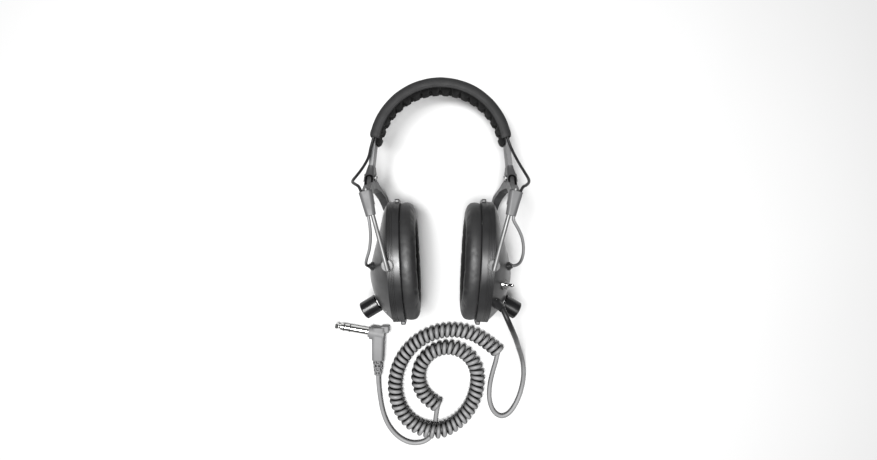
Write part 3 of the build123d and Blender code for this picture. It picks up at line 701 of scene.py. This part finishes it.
# Section of the ear cushion: distance along the cup's axis, and the share of the way from the inner rim to
# the outer one. The seams are where the vinyl is stitched
CUSHION_SECTION = (
    (-9.0, 0.985), (-9.6, 1.0), (-11.0, 1.008), (-12.6, 1.012), (-14.2, 1.010), (-15.8, 1.003),
    (-17.2, 0.992), (-17.9, 0.955), (-18.5, 0.895), (-18.95, 0.82), (-19.25, 0.73), (-19.45, 0.62),
    (-19.55, 0.50), (-19.6, 0.38), (-19.6, 0.27), (-19.5, 0.16), (-19.3, 0.07), (-18.6, 0.015),
    (-16.8, 0.0), (-15.2, 0.0), (-13.6, 0.0), (-12.0, 0.01), (-10.4, 0.02), (-9.0, 0.04),
)
CUSHION_SEAMS = (0, 6, 16, 23)
CUSHION_STEPS = 132
SIM_SCALE = 20.0
SIM_FRAMES = 20


def cup_point(side, along, height, depth):
    """A point given along the cup's axis, up and forwards, as a point of the row frame."""
    toe = math.radians(CUP_TOE_DEG)
    across = CUP_X + along * math.cos(toe) + height * math.sin(toe)
    return row(SIDES[side] * across, height * math.cos(toe) - along * math.sin(toe), depth)


def grid_mesh(name, rows, close_rows, close_columns):
    """A mesh from rows of points, closed either way on request, with smooth faces turned outwards."""
    count, wide = len(rows), len(rows[0])
    faces = []
    for i in range(count if close_rows else count - 1):
        for j in range(wide if close_columns else wide - 1):
            k, m = (i + 1) % count, (j + 1) % wide
            faces.append((i * wide + j, i * wide + m, k * wide + m, k * wide + j))
    if not close_rows and close_columns:
        faces.append(tuple(range(wide)))
        faces.append(tuple((count - 1) * wide + j for j in range(wide)))
    mesh = bpy.data.meshes.new(name)
    mesh.from_pydata([point for line in rows for point in line], [], faces)
    shape = bmesh.new()
    shape.from_mesh(mesh)
    bmesh.ops.recalc_face_normals(shape, faces=shape.faces)
    shape.to_mesh(mesh)
    shape.free()
    mesh.shade_smooth()
    return add_object(name, mesh)


def add_cloth(piece, seams, pressure):
    """A thin vinyl skin under pressure, held at its seams."""
    group = piece.vertex_groups.new(name="seams")
    group.add(seams, 1.0, "REPLACE")
    cloth = piece.modifiers.new("puff", "CLOTH")
    settings = cloth.settings
    settings.quality = 5
    settings.mass = 0.1
    settings.tension_stiffness = 8.0
    settings.compression_stiffness = 8.0
    settings.bending_stiffness = 0.4
    settings.shrink_min = -0.02
    settings.use_pressure = True
    settings.uniform_pressure_force = pressure
    settings.vertex_group_mass = group.name
    settings.effector_weights.gravity = 0.0
    cloth.point_cache.frame_start = 1
    cloth.point_cache.frame_end = SIM_FRAMES
    return cloth


def puff(piece, seams, cap, pressure):
    """Blows the piece up as cloth, at twenty times its size; no point moves further than the cap."""
    scene = bpy.context.scene
    vertices = piece.data.vertices
    rest = [vertex.co.copy() for vertex in vertices]
    centre = sum(rest, Vector()) / len(rest)
    for vertex, place in zip(vertices, rest):
        vertex.co = (place - centre) * SIM_SCALE
    cloth = add_cloth(piece, seams, pressure)
    for number in range(1, SIM_FRAMES + 1):
        scene.frame_set(number)
    blown = piece.evaluated_get(bpy.context.evaluated_depsgraph_get()).to_mesh()
    moved = [vertex.co / SIM_SCALE + centre for vertex in blown.vertices]
    piece.to_mesh_clear()
    piece.modifiers.remove(cloth)
    for vertex, place, new in zip(vertices, rest, moved):
        step = new - place
        if step.length > cap:
            step = step.normalized() * cap
        vertex.co = place + step
    scene.frame_set(1)


def crease(piece, depth, size, stretch):
    """Presses shallow soft wrinkles into the surface; the stretch draws them out across their length."""
    vertices = piece.data.vertices
    normals = [vertex.normal.copy() for vertex in vertices]
    for vertex, normal in zip(vertices, normals):
        spot = Vector(a * b for a, b in zip(vertex.co, stretch)) / size
        vertex.co += normal * (depth * noise.noise(spot))


def subdivide(piece):
    finer = piece.modifiers.new("finer", "SUBSURF")
    finer.levels = 1
    finer.render_levels = 1


def make_cushion(side):
    """The ear cushion: a vinyl ring, puffed between its stitched seams."""
    rows = []
    for number in range(CUSHION_STEPS):
        turn = 2 * math.pi * number / CUSHION_STEPS
        line = []
        for along, share in CUSHION_SECTION:
            tall, deep = (a + (b - a) * share for a, b in zip(CUSHION_INNER, CUSHION_OUTER))
            line.append(cup_point(side, along, tall * math.cos(turn), deep * math.sin(turn)))
        rows.append(line)
    cushion = grid_mesh(f"ear_pad_{side}", rows, True, True)
    wide = len(CUSHION_SECTION)
    seams = [number * wide + seam for number in range(CUSHION_STEPS) for seam in CUSHION_SEAMS]
    puff(cushion, seams, cap=0.9 * MM, pressure=9.0)
    crease(cushion, depth=0.14 * MM, size=3.2 * MM, stretch=(0.35, 1.0, 1.0))
    subdivide(cushion)
    paint(cushion, "cushion_leatherette")
    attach(cushion, f"cup_{side}")
    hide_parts(f"ear_cushion_{side}")


FOAM_FACE = -11.2
FOAM_BACK = -9.0
FOAM_FACE_HALF = (28.6, 23.2)
FOAM_BACK_HALF = (28.2, 22.8)
FOAM_RIM_DROP = 0.7
FOAM_DISH = 0.4
FOAM_LUMP = 0.35
FOAM_LUMP_SIZE = 2.2
FOAM_RINGS = 22
FOAM_STEPS = 96


def make_foam(side):
    """Open-cell foam disc in the ear opening, dished and lumpy."""
    rows = []
    for number in range(FOAM_STEPS):
        turn = 2 * math.pi * number / FOAM_STEPS
        tall, deep = FOAM_BACK_HALF[0] * math.cos(turn), FOAM_BACK_HALF[1] * math.sin(turn)
        line = [cup_point(side, FOAM_BACK, tall, deep)]
        for ring in range(FOAM_RINGS):
            share = 1.0 - ring / FOAM_RINGS
            tall = FOAM_FACE_HALF[0] * share * math.cos(turn)
            deep = FOAM_FACE_HALF[1] * share * math.sin(turn)
            lump = FOAM_LUMP * noise.noise(Vector((tall, deep, 0.0)) / FOAM_LUMP_SIZE)
            drop = FOAM_RIM_DROP if ring == 0 else 0.0
            line.append(cup_point(side, FOAM_FACE + drop + FOAM_DISH * (1 - share) + lump, tall, deep))
        rows.append(line)
    foam = grid_mesh(f"foam_disc_{side}", rows, True, False)
    paint(foam, "foam")
    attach(foam, f"cup_{side}")
    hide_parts(f"foam_screen_{side}")


PAD_FROM_DEG = 6.2
PAD_HALF = 14.6
PAD_TOP_R = 51.3
PAD_TIP_R = 47.9
PAD_COLUMNS = 19
PAD_TOP_INSET = 0.97
# The edges of the lower face: the share of the pad's height that they climb, and how suddenly
PAD_EDGE_RISE = 0.8
PAD_FRONT_POWER = 3.4
PAD_REAR_POWER = 6.0
# The ends of the pad: how much narrower they are, how far they rise, and the least thickness there
PAD_END_NARROW = 0.22
PAD_END_RISE = 0.55
PAD_END_THICK = 0.9
LOBE_COUNT = 18
LOBE_STEPS = 14
# The notch between two lobes: its depth, where it starts in a lobe, its share at the middle of the pad,
# how much deeper it gets towards the rear, and how far its seam is drawn in at the edges
NOTCH_DEPTH = 3.0
NOTCH_FROM = 0.6
NOTCH_MIDDLE = 0.75
NOTCH_REAR = 0.45
NOTCH_TUCK = 0.5


def band_point(radius, degrees, depth):
    """A point round the headband's centre, at a depth from its middle plane."""
    turn = math.radians(degrees)
    return row(radius * math.cos(turn), BAND_Y + radius * math.sin(turn), depth)


def pad_line(number, steps):
    """One line of points round the pad's section: the lower face forwards, then the top back."""
    degrees = PAD_FROM_DEG + (180 - 2 * PAD_FROM_DEG) * number / steps
    across = 2 * (number % LOBE_STEPS) / LOBE_STEPS - 1
    end = min(number, steps - number) / LOBE_STEPS
    pinch = 0.0 if end >= 1 else (1 - end) ** 2
    notch = NOTCH_DEPTH * max(0.0, (abs(across) - NOTCH_FROM) / (1 - NOTCH_FROM))
    tuck = NOTCH_TUCK if number % LOBE_STEPS == 0 else 0.0
    half = PAD_HALF * (1 - PAD_END_NARROW * pinch) - tuck
    middle = (PAD_COLUMNS - 1) / 2
    shares = [math.sin(math.pi / 2 * (k / middle - 1)) for k in range(PAD_COLUMNS)]
    line = []
    for share in shares:
        low = PAD_TIP_R + notch * (NOTCH_MIDDLE - NOTCH_REAR * share)
        low = low + (PAD_TOP_R - PAD_END_THICK - low) * PAD_END_RISE * pinch
        power = PAD_FRONT_POWER if share > 0 else PAD_REAR_POWER
        radius = low + (PAD_TOP_R - low) * PAD_EDGE_RISE * abs(share) ** power
        line.append(band_point(radius, degrees, half * share))
    for share in reversed(shares[1:-1:3]):
        line.append(band_point(PAD_TOP_R, degrees, half * share * PAD_TOP_INSET))
    return line


def make_pad():
    """Foam under the strap in a leatherette skin, puffed between the seams that part its lobes."""
    steps = LOBE_COUNT * LOBE_STEPS
    rows = [pad_line(number, steps) for number in range(steps + 1)]
    wide = len(rows[0])
    seams = []
    for number in range(steps + 1):
        first = 0 if number % LOBE_STEPS == 0 else PAD_COLUMNS
        seams += [number * wide + place for place in range(first, wide)]
    pad = grid_mesh("head_pad", rows, False, True)
    puff(pad, seams, cap=0.4 * MM, pressure=5.0)
    crease(pad, depth=0.12 * MM, size=2.6 * MM, stretch=(1.0, 1.0, 0.4))
    subdivide(pad)
    paint(pad, "pad_leatherette")
    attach(pad, "headband")
    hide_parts("headband_pad")


# ---- Headband cover ----

# Section of the cover: radius, depth from the middle plane; the front edge comes lower than the rear one
COVER_SECTION = (
    (48.3, 15.0), (47.9, 15.5), (48.1, 16.0), (48.8, 15.95), (49.1, 15.7), (49.5, 15.95), (50.8, 16.05),
    (52.0, 15.98), (53.0, 15.75), (53.9, 15.3), (54.6, 14.7), (55.0, 14.2), (55.3, 12.6), (55.5, 10.4),
    (55.62, 7.6), (55.68, 4.0), (55.7, 0.0), (55.68, -4.0), (55.62, -7.6), (55.5, -10.4), (55.3, -12.6),
    (55.0, -14.2), (54.6, -15.1), (53.9, -15.7), (53.0, -15.95), (52.2, -15.95), (51.6, -16.0),
    (51.1, -16.0), (50.8, -15.7), (50.95, -15.2),
)
COVER_STEPS = 150
COVER_FROM_DEG = 9.6
COVER_SKIN = 0.55
COVER_FLANK = 15.0
# How much later each end starts at the outer radius than at the inner one
COVER_LEAN_DEG = 1.6
COVER_LEAN_R = (48.0, 55.7)
# The hem: how far it swells, how many steps from the end, how wide it is, and how far the end is tucked in
HEM_SWELL = 0.25
HEM_AT = 3
HEM_WIDTH = 1.6
HEM_TUCK = 0.35
# The skin's unevenness: its height, and its size in degrees round the band, across it and outwards
COVER_WAVE = 0.16
COVER_WAVE_SIZE = (7.0, 5.0, 3.0)


def cover_line(number):
    """One line of points over the cover's section."""
    share = number / COVER_STEPS
    end = min(number, COVER_STEPS - number)
    hem = HEM_SWELL * math.exp(-((end - HEM_AT) / HEM_WIDTH) ** 2) - (HEM_TUCK if end < 1 else 0.0)
    line = []
    for radius, depth in COVER_SECTION:
        lean = COVER_LEAN_DEG * (radius - COVER_LEAN_R[0]) / (COVER_LEAN_R[1] - COVER_LEAN_R[0])
        degrees = COVER_FROM_DEG + lean + (180 - 2 * COVER_FROM_DEG - 2 * lean) * share
        spot = Vector(a / b for a, b in zip((degrees, depth, radius), COVER_WAVE_SIZE))
        swell = hem + COVER_WAVE * noise.noise(spot)
        if abs(depth) < COVER_FLANK:
            line.append(band_point(radius + swell, degrees, depth))
        else:
            line.append(band_point(radius, degrees, depth + math.copysign(swell, depth)))
    return line


def make_cover():
    """Leatherette skin stretched over the strap, rolled in at its rims, with a hem at each end."""
    cover = grid_mesh("band_cover", [cover_line(number) for number in range(COVER_STEPS + 1)], False, False)
    skin = cover.modifiers.new("skin", "SOLIDIFY")
    skin.thickness = COVER_SKIN * MM
    middle = cover.data.polygons[len(cover.data.polygons) // 2]
    outwards = middle.center - row(0, BAND_Y, 0)
    skin.offset = -1.0 if middle.normal.dot(outwards) > 0 else 1.0
    subdivide(cover)
    paint(cover, "cover_leatherette")
    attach(cover, "headband")
    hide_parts("headband_cover")


# ---- Painted shadow along the seams of the forks ----

# Over the front of the left hub, in the row frame; the right one mirrors it
FORK_SEAM = (
    (-56.2, 12.4, 71.6), (-56.6, 14.3, 68.3), (-57.5, 17.4, 62.3), (-57.6, 19.4, 59.6), (-56.6, 20.6, 58.8),
    (-54.4, 20.9, 58.5), (-53.2, 19.8, 59.8), (-52.6, 18.3, 62.3), (-52.0, 16.4, 65.8), (-51.9, 14.9, 68.6),
)
FORK_SEAM_RADIUS = 0.75
FORK_SEAM_STEPS = 8


def make_fork_seam(side):
    """A black tube over the hub of a fork, along the moulding's seam: a painted shadow of the seam's gap.
    """
    points = [to_row((-SIDES[side] * x, y, z)) for x, y, z in FORK_SEAM]
    seam = as_mesh(nurbs(f"fork_seam_{side}", points, FORK_SEAM_RADIUS * MM, FORK_SEAM_STEPS))
    paint(seam, "fork_plastic", "seam_shade")
    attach(seam, "headband")


make_camera()
make_studio()
paint_frame()
make_cord(make_relief())
for side in SIDES:
    make_leads(side)
for side in SIDES:
    make_cushion(side)
    make_foam(side)
make_pad()
make_cover()
for side in SIDES:
    make_fork_seam(side)
